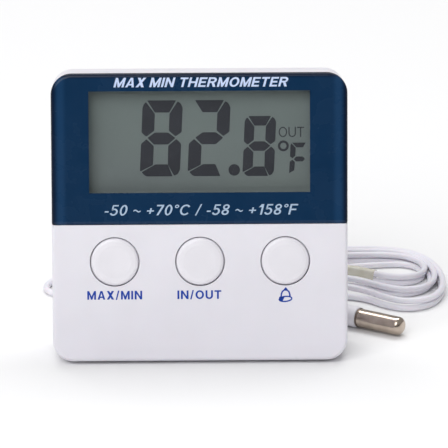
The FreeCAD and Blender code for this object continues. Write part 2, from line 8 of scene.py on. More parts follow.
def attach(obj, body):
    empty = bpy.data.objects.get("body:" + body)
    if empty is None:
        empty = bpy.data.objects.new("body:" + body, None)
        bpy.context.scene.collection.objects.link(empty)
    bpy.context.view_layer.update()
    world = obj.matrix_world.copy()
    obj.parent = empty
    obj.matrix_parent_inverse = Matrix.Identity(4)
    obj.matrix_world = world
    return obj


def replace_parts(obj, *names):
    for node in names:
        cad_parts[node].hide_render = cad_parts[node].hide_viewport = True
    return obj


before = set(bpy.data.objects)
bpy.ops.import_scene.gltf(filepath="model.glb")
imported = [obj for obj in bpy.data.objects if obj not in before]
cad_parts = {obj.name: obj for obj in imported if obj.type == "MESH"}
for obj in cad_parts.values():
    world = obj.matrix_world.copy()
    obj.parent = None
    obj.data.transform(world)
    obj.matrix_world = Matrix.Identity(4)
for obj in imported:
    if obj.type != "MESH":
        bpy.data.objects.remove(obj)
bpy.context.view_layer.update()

# A digital maximum-minimum thermometer with a wired probe, leaning back on its fold-out leg.
# Lengths are in millimetres until they reach a mesh, a curve or an object, which are in metres.
# The case's own frame is upright: X to the right, Y from the front face to the back, Z up from
# the bottom edge. TO_LEAN leans it back onto its sole, as the CAD does.

MM = 0.001
LEAN = math.radians(12.0)
SEAM_Y, SOLE_POINT = 5.4, 5.0
CASE_D = 17.0
PANEL_FRONT = -0.4
SCREEN_Y = 2.8
BUTTON_PITCH = 20.2
CABLE_D = 1.6
FLOOR_Z = CABLE_D / 2

TO_LEAN = (Matrix.Translation((0, -(SEAM_Y * math.cos(LEAN) + SOLE_POINT), SEAM_Y * math.sin(LEAN)))
           @ Matrix.Rotation(-LEAN, 4, "X"))
METRES = Matrix.Scale(MM, 4)


def link(obj):
    bpy.context.scene.collection.objects.link(obj)
    return obj


# ---- Camera ------------------------------------------------------------------------------

ELEVATION, YAW = math.radians(18.5), math.radians(1.2)
DISTANCE = 0.9
AIM = Vector((0.00572, -0.00311, 0.03297))
FOCAL_LENGTH = 305.66

sight = Vector((math.sin(YAW) * math.cos(ELEVATION), math.cos(YAW) * math.cos(ELEVATION),
                -math.sin(ELEVATION)))
camera = link(bpy.data.objects.new("camera", bpy.data.cameras.new("camera")))
camera.data.lens = FOCAL_LENGTH
camera.data.sensor_width = 36.0
camera.data.clip_start = 0.05
camera.location = AIM - sight * DISTANCE
camera.rotation_mode = "QUATERNION"
camera.rotation_quaternion = sight.to_track_quat("-Z", "Y")
bpy.context.scene.camera = camera


# ---- Materials ---------------------------------------------------------------------------

FROM_LEAN = TO_LEAN.inverted()
MIX_UNDER, MIX_ABOVE, MIX_COLOUR = 6, 7, 2    # a Mix node's colour sockets, which share their names
COAT_ROUGHNESS = 0.12


def tone(red, green, blue):
    """A linear colour from the 0-255 values that it shows on a screen."""
    def one(value):
        c = value / 255
        return c / 12.92 if c <= 0.04045 else ((c + 0.055) / 1.055) ** 2.4
    return (one(red), one(green), one(blue), 1.0)


def scaled(colour, factor):
    return (*(min(1.0, c * factor) for c in colour[:3]), 1.0)


class Look:
    """A Principled material whose colour, gloss and relief come from procedural nodes."""

    def __init__(self, name, roughness, metallic=0.0, specular=0.5, coat=0.0, alpha=1.0):
        self.material = bpy.data.materials.new(name)
        self.material.use_nodes = True
        self.nodes = self.material.node_tree.nodes
        self.links = self.material.node_tree.links
        self.shader = self.nodes["Principled BSDF"]
        self.shader.inputs["Metallic"].default_value = metallic
        self.shader.inputs["Specular IOR Level"].default_value = specular
        self.shader.inputs["Coat Weight"].default_value = coat
        self.shader.inputs["Coat Roughness"].default_value = COAT_ROUGHNESS
        self.shader.inputs["Alpha"].default_value = alpha
        self.roughness = roughness
        self.here = self.nodes.new("ShaderNodeTexCoord").outputs["Object"]

    def node(self, kind, **inputs):
        """A node whose inputs are named with _ for a space."""
        made = self.nodes.new("ShaderNode" + kind)
        for name, value in inputs.items():
            self.feed(made.inputs[name.replace("_", " ")], value)
        return made

    def feed(self, socket, value):
        """Links another node's output to a socket, or sets the socket to a plain value."""
        if isinstance(value, bpy.types.NodeSocket):
            self.links.new(value, socket)
        else:
            socket.default_value = value

    def maths(self, operation, a, b=0.0):
        made = self.nodes.new("ShaderNodeMath")
        made.operation = operation
        self.feed(made.inputs[0], a)
        self.feed(made.inputs[1], b)
        return made.outputs[0]

    def noise(self, size, detail=2.0, stretch=(1, 1, 1), distortion=0.0):
        """Noise whose features are about size millimetres across."""
        mapped = self.node("Mapping", Vector=self.here, Scale=stretch)
        return self.node("TexNoise", Vector=mapped.outputs[0], Scale=1000.0 / size, Detail=detail,
                         Distortion=distortion).outputs["Fac"]

    def ramp(self, value, low, high, start=0.3, end=0.7):
        """Turns a value into a colour between low and high."""
        made = self.nodes.new("ShaderNodeValToRGB")
        first, last = made.color_ramp.elements
        first.position, first.color = start, low
        last.position, last.color = end, high
        self.links.new(value, made.inputs[0])
        return made.outputs[0]

    def over(self, amount, under, above, blend="MIX"):
        """Lays one colour over another, as far as amount says."""
        made = self.nodes.new("ShaderNodeMix")
        made.data_type, made.blend_type = "RGBA", blend
        self.feed(made.inputs["Factor"], amount)
        self.feed(made.inputs[MIX_UNDER], under)
        self.feed(made.inputs[MIX_ABOVE], above)
        return made.outputs[MIX_COLOUR]

    def span(self, value, start, end, low=0.0, high=1.0):
        """Maps start..end to low..high, smoothly, and holds it outside."""
        made = self.node("MapRange", Value=value, From_Min=start, From_Max=end, To_Min=low,
                         To_Max=high)
        made.interpolation_type = "SMOOTHSTEP"
        return made.outputs[0]

    def case_axes(self):
        """The point's X, Y and Z in the upright case's frame, in metres."""
        turn = self.node("Mapping", Vector=self.here, Rotation=(LEAN, 0, 0),
                         Location=FROM_LEAN.translation * MM)
        return self.node("SeparateXYZ", Vector=turn.outputs[0]).outputs

    def gloss(self, size, spread=0.06):
        """Lets the roughness wander by spread, in patches about size millimetres across."""
        low, high = self.roughness - spread, self.roughness + spread
        self.links.new(self.span(self.noise(size, 3.0), 0.3, 0.7, low, high),
                       self.shader.inputs["Roughness"])

    def relief(self, height, strength, distance):
        bump = self.node("Bump", Height=height, Strength=strength, Distance=distance)
        self.links.new(bump.outputs[0], self.shader.inputs["Normal"])

    def colour(self, value):
        self.links.new(value, self.shader.inputs["Base Color"])

    def translucent(self, weight, scale):
        self.shader.inputs["Subsurface Weight"].default_value = weight
        self.shader.inputs["Subsurface Scale"].default_value = scale


def moulded(name, base, roughness, grain, strength=0.12):
    """Moulded plastic: an even colour with a slight drift, and a fine eroded skin."""
    drift, patch = 0.025, 9.0
    look = Look(name, roughness)
    look.colour(look.ramp(look.noise(patch, 2.0), scaled(base, 1 - drift), scaled(base, 1 + drift)))
    look.gloss(patch * 0.6)
    look.relief(look.noise(grain, 4.0), strength, 0.00003)
    return look.material


def metal(name, base, roughness, stretch):
    """Bare or plated metal with drawn or rolled marks along the axis that stretch squeezes."""
    drift = 0.08
    look = Look(name, roughness, metallic=1.0)
    look.colour(look.ramp(look.noise(3.0, 3.0), scaled(base, 1 - drift), scaled(base, 1 + drift)))
    look.gloss(2.0, 0.08)
    look.relief(look.noise(0.5, 3.0, stretch), 0.12, 0.00002)
    return look.material


def shell_plastic():
    """The satin white case: painted shade greys its lower part a little, and its white is faintly
    mottled.
    """
    look = Look("case_plastic", 0.38, specular=0.45)
    height = look.case_axes()["Z"]
    # painted shade: the case is a little greyer near its bottom, fading to its full white 40 mm up
    base = look.over(look.span(height, 0.0, 0.04), tone(224, 222, 230), tone(231, 229, 236))
    full = tone(255, 255, 255)
    mottle = look.ramp(look.noise(14.0, 2.0), scaled(full, 0.965), full)
    look.colour(look.over(1.0, base, mottle, "MULTIPLY"))
    look.gloss(7.0, 0.05)
    look.relief(look.noise(0.3, 4.0), 0.1, 0.00003)
    look.translucent(0.04, 0.0008)
    return look.material


def panel_plastic():
    """Blue panel: a painted dark reflection deepens its ink to near black at the rim, and a painted
    highlight pales a band inside each side.
    """
    look = Look("panel_blue", 0.26, specular=0.16, coat=0.04)
    axes = look.case_axes()
    side = look.maths("ABSOLUTE", axes["X"])
    # painted dark reflection: near black along the outermost edge of each side and of the top
    painted_dark_rim = look.maths("MAXIMUM", look.span(side, 0.0334, 0.0347), look.span(axes["Z"], 0.0670, 0.0682))
    # painted highlight: a paler blue band just inside each side edge
    painted_side_highlight = look.maths("MULTIPLY", look.span(side, 0.0312, 0.0326), look.span(side, 0.0342, 0.0330))
    ink = look.ramp(look.noise(10.0, 2.0), tone(13, 44, 74), tone(15, 47, 78), 0.25, 0.75)
    ink = look.over(look.maths("MULTIPLY", painted_side_highlight, 0.3), ink, tone(38, 76, 116))
    look.colour(look.over(look.maths("MULTIPLY", painted_dark_rim, 0.85), ink, tone(3, 12, 34)))
    look.gloss(5.0, 0.04)
    look.relief(look.noise(25.0, 1.0), 0.03, 0.0001)
    return look.material


def window_plastic():
    """Clear acrylic: almost nothing of it shows but its gloss."""
    look = Look("window_clear", 0.07, specular=0.5, alpha=0.06)
    look.colour(look.ramp(look.noise(8.0), tone(30, 34, 36), tone(36, 40, 42)))
    look.gloss(6.0, 0.03)
    look.relief(look.noise(6.0, 1.0), 0.04, 0.00005)
    return look.material


def screen_film():
    """The display's polariser: grey-green, darker where the window's walls shade it."""
    look = Look("screen_film", 0.45, specular=0.25)
    axes = look.case_axes()
    height, side = axes["Z"], look.maths("ABSOLUTE", axes["X"])
    side_shade = look.span(side, 0.0247, 0.0261)
    end_shade = look.maths("MAXIMUM", look.span(height, 0.0628, 0.0642),
                           look.span(height, 0.0417, 0.0402))
    shade = look.maths("MAXIMUM", side_shade, end_shade)
    film = look.ramp(look.noise(16.0, 1.5), tone(112, 121, 121), tone(117, 127, 125))
    film = look.over(look.span(height, 0.040, 0.064), film, tone(113, 124, 122))
    look.colour(look.over(look.maths("MULTIPLY", shade, 0.15), film, tone(70, 80, 82)))
    look.gloss(9.0, 0.04)
    look.relief(look.noise(0.12, 2.0), 0.04, 0.00001)
    return look.material


def screen_glass():
    """The display's two glass plates: clear, with a faint green-grey tint."""
    look = Look("screen_glass", 0.06, specular=0.5, alpha=0.18)
    look.colour(look.ramp(look.noise(12.0), tone(150, 165, 160), tone(165, 178, 172)))
    look.gloss(8.0, 0.02)
    return look.material


def ink(name, base, roughness=0.4):
    """Printed ink: its density varies a little, over a fine grain."""
    drift = 0.06
    look = Look(name, roughness, specular=0.35)
    look.colour(look.ramp(look.noise(0.5, 3.0), scaled(base, 1 - drift), scaled(base, 1 + drift)))
    look.gloss(1.0, 0.05)
    look.relief(look.noise(0.08, 2.0), 0.08, 0.00001)
    return look.material


def cable_skin():
    """Soft white vinyl, with the faint flow marks of extrusion and a slight sheen."""
    look = Look("cable_vinyl", 0.36, specular=0.45)
    look.colour(look.ramp(look.noise(11.0, 3.0), tone(226, 224, 232), tone(238, 236, 244)))
    look.gloss(4.0, 0.07)
    look.relief(look.noise(0.5, 3.0), 0.14, 0.00004)
    look.translucent(0.08, 0.0006)
    return look.material


def clear_tape():
    """Clear tape: faintly yellow, its wrinkles catch the light."""
    look = Look("tape_clear", 0.16, specular=0.7, alpha=0.4)
    look.colour(look.ramp(look.noise(3.0, 3.0), tone(232, 229, 206), tone(246, 243, 226)))
    look.gloss(1.5, 0.1)
    look.relief(look.noise(1.6, 3.0, (1, 3, 1), 0.8), 0.5, 0.0002)
    return look.material


def probe_metal():
    """Nickel-plated tube with turning marks round it and a warm, slightly dull skin."""
    look = Look("probe_nickel", 0.2, metallic=1.0)
    look.colour(look.ramp(look.noise(2.2, 4.0), tone(180, 166, 153), tone(198, 184, 171)))
    look.gloss(1.4, 0.07)
    look.relief(look.noise(0.35, 3.0, (1.0, 0.3, 0.3)), 0.1, 0.00002)
    return look.material


def board_laminate():
    """Green solder mask with copper tracks showing through it."""
    look = Look("board_laminate", 0.35, specular=0.5)
    tracks = look.node("TexBrick", Vector=look.here, Scale=420.0, Mortar_Size=0.06)
    mask = look.ramp(look.noise(2.0, 2.0), tone(14, 82, 46), tone(22, 98, 56))
    look.colour(look.over(look.maths("MULTIPLY", tracks.outputs["Fac"], 0.6), mask, tone(52, 132, 78)))
    look.gloss(2.0, 0.08)
    look.relief(tracks.outputs["Fac"], 0.3, 0.00003)
    return look.material


def battery_wrap():
    """The cell's printed sleeve: dark, with a copper-coloured end."""
    look = Look("battery_wrap", 0.3, specular=0.5, coat=0.3)
    copper_end = look.span(look.case_axes()["X"], 0.0098, 0.0102)
    sleeve = look.ramp(look.noise(4.0, 2.0), tone(30, 34, 40), tone(42, 46, 52))
    look.colour(look.over(copper_end, sleeve, tone(186, 122, 60)))
    look.gloss(3.0, 0.05)
    look.relief(look.noise(1.2, 2.0), 0.1, 0.00004)
    return look.material


WHITE = shell_plastic()
PANEL = panel_plastic()
CLEAR = window_plastic()
FILM = screen_film()
SEGMENT = ink("segment_ink", tone(47, 49, 56), 0.6)
TITLE_INK = ink("title_ink", tone(196, 211, 240))
LEGEND_INK = ink("legend_ink", tone(166, 187, 210))
LABEL_INK = ink("label_ink", tone(12, 60, 158))
BUTTON = moulded("button_plastic", tone(230, 228, 234), 0.34, 0.4, 0.08)
CABLE = cable_skin()
BOOT = moulded("boot_vinyl", tone(232, 230, 236), 0.42, 0.6, 0.15)
TAPE = clear_tape()
NICKEL = probe_metal()
# The collar's nickel is darker and rougher than the tube's; its darker colour is painted shade for the
# dark ring where the tube leaves the boot.
SHADED_COLLAR_NICKEL = metal("shaded_collar_nickel", tone(120, 108, 99), 0.34, (0.3, 1, 1))
STEEL = metal("steel", tone(176, 177, 182), 0.3, (0.2, 1, 1))
BRASS = metal("brass", tone(196, 160, 92), 0.32, (1, 0.3, 1))
FRAME_PLASTIC = moulded("frame_plastic", tone(206, 205, 206), 0.5, 0.4)
DARK_PLASTIC = moulded("switch_plastic", tone(38, 38, 42), 0.45, 0.3)
RUBBER = moulded("contact_rubber", tone(70, 72, 78), 0.7, 0.25, 0.3)
GREY_RUBBER = moulded("grey_rubber", tone(196, 196, 200), 0.62, 0.4, 0.25)
EPOXY = moulded("black_epoxy", tone(20, 20, 22), 0.18, 1.5, 0.25)
CERAMIC = moulded("sounder_ceramic", tone(226, 220, 206), 0.55, 0.2, 0.2)
BEAD = moulded("thermistor_bead", tone(34, 30, 28), 0.25, 0.6, 0.2)
WIRE_RED = moulded("wire_red", tone(176, 26, 24), 0.4, 0.5)
GLASS = screen_glass()
BOARD = board_laminate()
WRAP = battery_wrap()

NODE_LOOKS = {
    "front_shell": WHITE, "rear_shell": WHITE, "battery_door": WHITE, "stand_leg": WHITE,
    "display_bezel": PANEL, "display_window": CLEAR,
    "lcd_polarizer": FILM, "lcd_front_glass": GLASS, "lcd_rear_glass": GLASS, "lcd_reflector": FILM,
    "lcd_frame": FRAME_PLASTIC, "elastomer_connector": RUBBER,
    "circuit_board": BOARD, "chip_blob": EPOXY, "smd_parts": CERAMIC, "crystal": STEEL,
    "indoor_thermistor": BEAD, "tact_switches": DARK_PLASTIC,
    "unit_switch_body": DARK_PLASTIC, "unit_switch_knob": DARK_PLASTIC,
    "sounder_disc": BRASS, "sounder_ceramic": CERAMIC, "sounder_wires": WIRE_RED,
    "aaa_battery": WRAP, "positive_contact": STEEL, "negative_plate": STEEL,
    "negative_spring": STEEL, "battery_wires": WIRE_RED,
    "stand_pin": STEEL, "case_screws": STEEL, "board_screws": STEEL,
    "cable_gland": GREY_RUBBER, "cable_inside": CABLE,
    "probe_tube": NICKEL, "probe_sleeve": BOOT, "probe_thermistor": BEAD,
    "cable_lead": CABLE, "cable_tail": CABLE, "cable_hank": CABLE, "hank_tape": TAPE,
}
for button in ("max_min", "in_out", "alarm"):
    NODE_LOOKS["button_" + button] = BUTTON
    NODE_LOOKS["plunger_" + button] = DARK_PLASTIC

for name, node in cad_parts.items():
    if not node.material_slots:
        node.data.materials.append(NODE_LOOKS[name])
    for place in node.material_slots:
        place.material = NODE_LOOKS[name]


# ---- Pieces ------------------------------------------------------------------------------

SHARP_FROM = math.radians(35)


def piece(name, bm, look, to_row=TO_LEAN):
    """A piece that rides on the case, from a bmesh in millimetres, which to_row takes into place."""
    bmesh.ops.recalc_face_normals(bm, faces=bm.faces)
    bm.transform(METRES @ to_row)
    mesh = bpy.data.meshes.new(name)
    bm.to_mesh(mesh)
    bm.free()
    mesh.materials.append(look)
    mesh.shade_smooth()
    mesh.set_sharp_from_angle(angle=SHARP_FROM)
    obj = link(bpy.data.objects.new(name, mesh))
    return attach(obj, "case")


def prism(bm, points, y0, y1):
    """A flat shape of (x, z) points, from y0 in front to y1 behind."""
    front = [bm.verts.new((x, y0, z)) for x, z in points]
    back = [bm.verts.new((x, y1, z)) for x, z in points]
    bm.faces.new(front)
    bm.faces.new(back[::-1])
    for i in range(len(points)):
        bm.faces.new((front[i - 1], front[i], back[i], back[i - 1]))


def eased(points, radius, steps=3):
    """A closed outline with each corner rounded off by about radius."""
    made = []
    for i, here in enumerate(points):
        here = Vector(here)
        before, after = Vector(points[i - 1]) - here, Vector(points[(i + 1) % len(points)]) - here
        start = here + before.normalized() * min(radius, before.length * 0.45)
        end = here + after.normalized() * min(radius, after.length * 0.45)
        for k in range(steps + 1):
            t = k / steps
            made.append(tuple(start.lerp(here, t).lerp(here.lerp(end, t), t)))
    return made


def ring(bm, x, z, outer, inner, y0, y1, sides=40):
    """A flat ring, or a disc where inner is 0."""
    angles = [2 * math.pi * i / sides for i in range(sides)]
    if not inner:
        prism(bm, [(x + outer * math.cos(a), z + outer * math.sin(a)) for a in angles], y0, y1)
        return
    rows = [[bm.verts.new((x + r * math.cos(a), y, z + r * math.sin(a))) for a in angles]
            for r, y in ((outer, y0), (inner, y0), (inner, y1), (outer, y1))]
    for a, b in zip(rows, rows[1:] + rows[:1]):
        for i in range(sides):
            bm.faces.new((a[i - 1], a[i], b[i], b[i - 1]))


def line(bm, points, width, y0, y1):
    """A line of even width through (x, z) points, with square ends."""
    left, right = [], []
    for i, here in enumerate(points):
        here = Vector(here)
        back = Vector(points[max(i - 1, 0)])
        ahead = Vector(points[min(i + 1, len(points) - 1)])
        along = (ahead - back).normalized()
        side = Vector((-along.y, along.x)) * width / 2
        left.append(here + side)
        right.append(here - side)
    for i in range(len(points) - 1):
        prism(bm, [left[i], left[i + 1], right[i + 1], right[i]], y0, y1)


def lathe(bm, profile, sides=64):
    """A round body with flat ends, from (distance along Y, radius) pairs."""
    rows = []
    for y, r in profile:
        rows.append([bm.verts.new((r * math.cos(a), y, r * math.sin(a)))
                     for a in (2 * math.pi * i / sides for i in range(sides))])
    for a, b in zip(rows, rows[1:]):
        for i in range(sides):
            bm.faces.new((a[i - 1], a[i], b[i], b[i - 1]))
    bm.faces.new(rows[0])
    bm.faces.new(rows[-1][::-1])


# ---- Cord, probe and tape ----------------------------------------------------------------

# Where the cord lies on the floor its middle is FLOOR_Z up. OUTER and INNER are the hank's
# widest and narrowest loops, and each turn of the cord lies somewhere between the two.
OUTER = [(-16, 35.6), (8, 38.4), (30, 40.0), (41, 34.4), (47.4, 26.2), (53.4, 24), (59.2, 27.8),
         (62.2, 37.5), (61.6, 51.5), (57.4, 62.4), (50, 67.2), (37, 67.6), (16, 64.6), (-10, 58.6),
         (-28, 53.6), (-36, 49.6), (-38.9, 44.5), (-37.4, 39.6), (-31, 36.2)]
INNER = [(-4.4, 41), (11, 45.4), (26, 51.8), (38, 53.4), (44, 50), (49.2, 47.2), (54.2, 48),
         (56.8, 51.4), (56.8, 56), (53.8, 59.8), (48.6, 61.2), (39, 60.8), (28, 59.4), (17, 57.8),
         (5.5, 56.6), (-5.5, 55), (-10.6, 52.4), (-12.4, 47.4), (-10.2, 43)]
TURNS, FIRST_POINT = 6, 3    # the lead joins the first turn at its fourth point
TURN_SIZES = [-0.04, 0.42, 0.86, 1.0, 0.6, 0.14, 0.0]    # 0 is OUTER and 1 INNER, as each turn starts
FAR_SLACK = [0.0, 1.2, 3.8, 0.0, 0.0, 0.0]    # how far each turn's far side sags inwards
FAR_FROM, FAR_TO = 8, 16    # the points of a turn that its far side lies between
STACK_FROM, STACK_TO, STACK_RAMP = 2.88, 5.85, 0.2    # in turns
STACK_RISE = 1.7
GLAND_X, GLAND_Z, GLAND_L = 24.0, 8.5, 5.0
CABLE_EXIT = tuple(TO_LEAN @ Vector((GLAND_X, CASE_D + GLAND_L, GLAND_Z)))
LEAD = [CABLE_EXIT, (24, 17.6, 3.9), (23.6, 22.4, 1.2), (22.8, 27.6, FLOOR_Z),
        (23.6, 32.6, FLOOR_Z), (28.6, 36.8, FLOOR_Z)]
HEADING = math.radians(-34.2)
ALONG = Vector((math.cos(HEADING), math.sin(HEADING), 0))
PROBE_JOIN = Vector((39.0, 15.2, 2.6))
SLEEVE_L = 9.0
SLEEVE_BACK = tuple(PROBE_JOIN - ALONG * SLEEVE_L)
TAIL = [(-0.5, 36.6, FLOOR_Z), (10.8, 33.3, 1.3), (17.6, 30.0, 2.4), (24.2, 25.6, 2.8),
        SLEEVE_BACK]


def hank():
    """The control points of the hank's turns: the later ones lie on top of the first ones."""
    count = len(OUTER)
    made = []
    for i in range(FIRST_POINT, TURNS * count + 1):
        turn = i / count
        whole = min(int(turn), TURNS - 1)
        size = TURN_SIZES[whole] + (TURN_SIZES[whole + 1] - TURN_SIZES[whole]) * (turn - whole)
        far = (i % count - FAR_FROM) / (FAR_TO - FAR_FROM)
        point = Vector(OUTER[i % count]).lerp(Vector(INNER[i % count]), size)
        if 0 < far < 1:
            point.y -= FAR_SLACK[whole] * (1 - math.cos(2 * math.pi * far)) / 2
        going_up, coming_down = (turn - STACK_FROM) / STACK_RAMP, (STACK_TO - turn) / STACK_RAMP
        rise = max(0.0, min(1.0, going_up, coming_down))
        made.append((point.x, point.y, FLOOR_Z + STACK_RISE * rise))
    return made


route = LEAD + hank() + TAIL
curve = bpy.data.curves.new("cord", "CURVE")
curve.dimensions = "3D"
curve.resolution_u = 10
spline = curve.splines.new("NURBS")
spline.points.add(len(route) - 1)
for control, (x, y, z) in zip(spline.points, route):
    control.co = (x * MM, y * MM, z * MM, 1.0)
spline.order_u = 3
spline.use_endpoint_u = True
bare = link(bpy.data.objects.new("cord_line", curve))
scene_now = bpy.context.evaluated_depsgraph_get()
centreline = bpy.data.meshes.new_from_object(bare.evaluated_get(scene_now))
middle = [v.co / MM for v in centreline.vertices]
bpy.data.objects.remove(bare)
curve.bevel_depth = CABLE_D / 2 * MM
curve.bevel_resolution = 5
curve.use_fill_caps = True
curve.materials.append(CABLE)
cord = link(bpy.data.objects.new("cord", curve))
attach(cord, "case")
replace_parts(cord, "cable_lead", "cable_hank", "cable_tail")


def probe_boot():
    """The moulded boot between the cable and the metal tube: a taper, two ribs and a soft lip."""
    bm = bmesh.new()
    profile = [(0.0, 0.86), (0.05, 1.16), (0.3, 1.26), (1.3, 1.36), (1.45, 1.62), (1.95, 1.66),
               (2.1, 1.5), (2.5, 1.66), (2.65, 1.98), (3.15, 2.04), (3.3, 1.92), (3.7, 2.16),
               (4.1, 2.44), (4.6, 2.56), (5.4, 2.6), (8.3, 2.6), (8.72, 2.56), (8.92, 2.44),
               (SLEEVE_L, 2.27)]
    lathe(bm, profile)
    to_row = Matrix.Translation(SLEEVE_BACK) @ Matrix.Rotation(HEADING - math.pi / 2, 4, "Z")
    return piece("probe_boot", bm, BOOT, to_row=to_row)


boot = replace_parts(probe_boot(), "probe_sleeve")


def probe_collar():
    """The rolled edge of the metal tube, where it leaves the boot, in a darker nickel that paints shade
    there.
    """
    bm = bmesh.new()
    lathe(bm, [(-0.02, 2.2), (0.0, 2.27), (0.1, 2.36), (0.28, 2.39), (0.46, 2.36), (0.56, 2.28),
               (0.6, 2.2)])
    to_row = Matrix.Translation(PROBE_JOIN) @ Matrix.Rotation(HEADING - math.pi / 2, 4, "Z")
    return piece("probe_collar", bm, SHADED_COLLAR_NICKEL, to_row=to_row)


collar = probe_collar()

TAPE_FROM, TAPE_TO = 31.0, 44.8
TAPE_NEAR, TAPE_FAR = 47.0, 54.5    # the two y that the strands under the tape lie between
TAPE_GAP, TAPE_T = 0.1, 0.15
LEVEL_SLACK = 0.2
TAPE_LOWEST = 0.02


def tape_wrap():
    """Clear tape round two stacked inner turns, on the side towards the case."""
    near = [p for p in middle if TAPE_FROM < p.x < TAPE_TO and TAPE_NEAR < p.y < TAPE_FAR]
    upper = [p for p in near if p.z > FLOOR_Z + STACK_RISE - LEVEL_SLACK]
    lower = [p for p in near if p.z < FLOOR_Z + LEVEL_SLACK]
    bm = bmesh.new()
    loops = []
    for i, low in enumerate(lower):
        along = (lower[min(i + 1, len(lower) - 1)] - lower[max(i - 1, 0)]).normalized()
        high = min(upper, key=lambda p: (p - low).length)
        up = (high - low) - along * (high - low).dot(along)
        high = low + up
        up.normalize()
        side = along.cross(up)
        for r in (CABLE_D / 2 + TAPE_GAP + TAPE_T, CABLE_D / 2 + TAPE_GAP):
            turns = [math.pi * k / 8 for k in range(9)]
            ends = [high + (side * math.cos(a) + up * math.sin(a)) * r for a in turns]
            ends += [low - (side * math.cos(a) + up * math.sin(a)) * r for a in turns]
            loops.append([bm.verts.new((p.x, p.y, max(p.z, TAPE_LOWEST))) for p in ends])
    outside, inside = loops[0::2], loops[1::2]
    rims = [(outside[0], inside[0]), (outside[-1], inside[-1])]
    for a, b in list(zip(outside, outside[1:])) + list(zip(inside, inside[1:])) + rims:
        for k in range(len(a)):
            bm.faces.new((a[k - 1], a[k], b[k], b[k - 1]))
    return piece("tape", bm, TAPE, to_row=Matrix.Identity(4))


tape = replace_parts(tape_wrap(), "hank_tape")


# ---- Gland -------------------------------------------------------------------------------


def gland():
    """Strain relief: a plug in the case's wall, a flange, and ribs that taper to the cable."""
    ribs, first_rib, rib_pitch = 4, 1.05, 0.86
    widest_rib, taper = 1.98, 0.18
    bm = bmesh.new()
    profile = [(-2.3, 1.3), (-2.3, 2.1), (0.02, 2.1), (0.05, 2.66), (0.3, 2.84), (0.62, 2.84),
               (0.82, 2.6), (0.86, 2.0)]
    for k in range(ribs):
        at, r = first_rib + rib_pitch * k, widest_rib - taper * k
        profile += [(at, r - 0.22), (at + 0.1, r), (at + 0.42, r - 0.02), (at + 0.56, r - 0.26)]
    profile += [(GLAND_L - 0.3, 1.14), (GLAND_L - 0.06, 1.05), (GLAND_L, 0.86)]
    lathe(bm, profile)
    bm.transform(Matrix.Translation((GLAND_X, CASE_D, GLAND_Z)))
    return piece("gland_relief", bm, GREY_RUBBER)


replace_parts(gland(), "cable_gland")


# ---- Display -----------------------------------------------------------------------------

DIGIT_W, DIGIT_H = 9.5, 18.05
# A digit's seven segments, and the letter F's four, each as (x, z) corners before the slant.
SEGMENTS = {
    "a": [(1.05, DIGIT_H), (DIGIT_W - 1.62, DIGIT_H), (DIGIT_W - 3.1, 15.17), (2.95, 15.17)],
    "b": [(DIGIT_W - 1.25, 17.8), (DIGIT_W - 0.55, 17.35), (DIGIT_W, 16.3), (DIGIT_W, 10.5),
          (DIGIT_W - 1.42, 9.5), (DIGIT_W - 3.05, 10.87), (DIGIT_W - 3.05, 14.9)],
    "c": [(DIGIT_W - 1.2, 8.88), (DIGIT_W, 7.75), (DIGIT_W, 1.6), (DIGIT_W - 0.5, 0.55),
          (DIGIT_W - 1.35, 0.12), (DIGIT_W - 2.95, 2.75), (DIGIT_W - 3.05, 7.25)],
    "d": [(0.42, 1.02), (1.0, 0.36), (1.65, 0.0), (DIGIT_W - 1.7, 0.0), (DIGIT_W - 2.98, 2.86),
          (3.6, 2.86)],
    "e": [(1.22, 8.86), (0.0, 7.72), (0.0, 1.4), (0.14, 1.22), (3.05, 2.7), (3.05, 7.22)],
    "f": [(0.76, 17.68), (0.28, 17.15), (0.0, 16.3), (0.0, 10.45), (1.18, 9.46), (3.0, 10.85),
          (3.0, 14.86)],
    "g": [(1.48, 9.16), (3.15, 10.42), (DIGIT_W - 3.2, 10.42), (DIGIT_W - 1.42, 9.12),
          (DIGIT_W - 3.1, 7.58), (3.05, 7.58)],
}
LETTER_F = [
    [(0.35, 7.25), (3.6, 7.25), (3.0, 6.12), (1.5, 6.12)],
    [(0.22, 7.1), (0.02, 6.6), (0.02, 4.0), (0.62, 3.5), (1.3, 4.15), (1.3, 6.02)],
    [(0.92, 3.36), (1.5, 3.95), (3.1, 3.95), (3.62, 3.36), (3.1, 2.78), (1.5, 2.78)],
    [(0.6, 3.2), (0.02, 2.7), (0.0, 0.0), (1.2, 0.7), (1.25, 2.68)],
]
SLANT = math.tan(math.radians(2.7))
INK_FRONT, INK_BACK = SCREEN_Y - 0.03, SCREEN_Y + 0.02


def segment(bm, points, x, z, wide=1.0, high=1.0, corner=0.22):
    placed = [(x + u * wide + v * high * SLANT, z + v * high) for u, v in points]
    prism(bm, eased(placed, corner), INK_FRONT, INK_BACK)


def digit(bm, shown, x, z, wide=1.0, high=1.0):
    for name in shown:
        segment(bm, SEGMENTS[name], x, z, wide, high)


READOUT_Z = 43.82
TENTHS_WIDE, TENTHS_HIGH = 0.785, 0.79
bm = bmesh.new()
digit(bm, "abcdefg", -14.15, READOUT_Z)
digit(bm, "abdeg", -2.85, READOUT_Z)
digit(bm, "abcdefg", 10.15, READOUT_Z - 0.05, TENTHS_WIDE, TENTHS_HIGH)
ring(bm, 8.25, 45.25, 1.37, 0, INK_FRONT, INK_BACK)
ring(bm, 19.9, 50.9, 1.3, 0.74, INK_FRONT, INK_BACK)
for strokes in LETTER_F:
    segment(bm, strokes, 21.25, 44.4, corner=0.12)
piece("readout", bm, SEGMENT)


# ---- Lettering ---------------------------------------------------------------------------


def bar(x0, z0, x1, z1):
    return [(x0, z0), (x1, z0), (x1, z1), (x0, z1)]


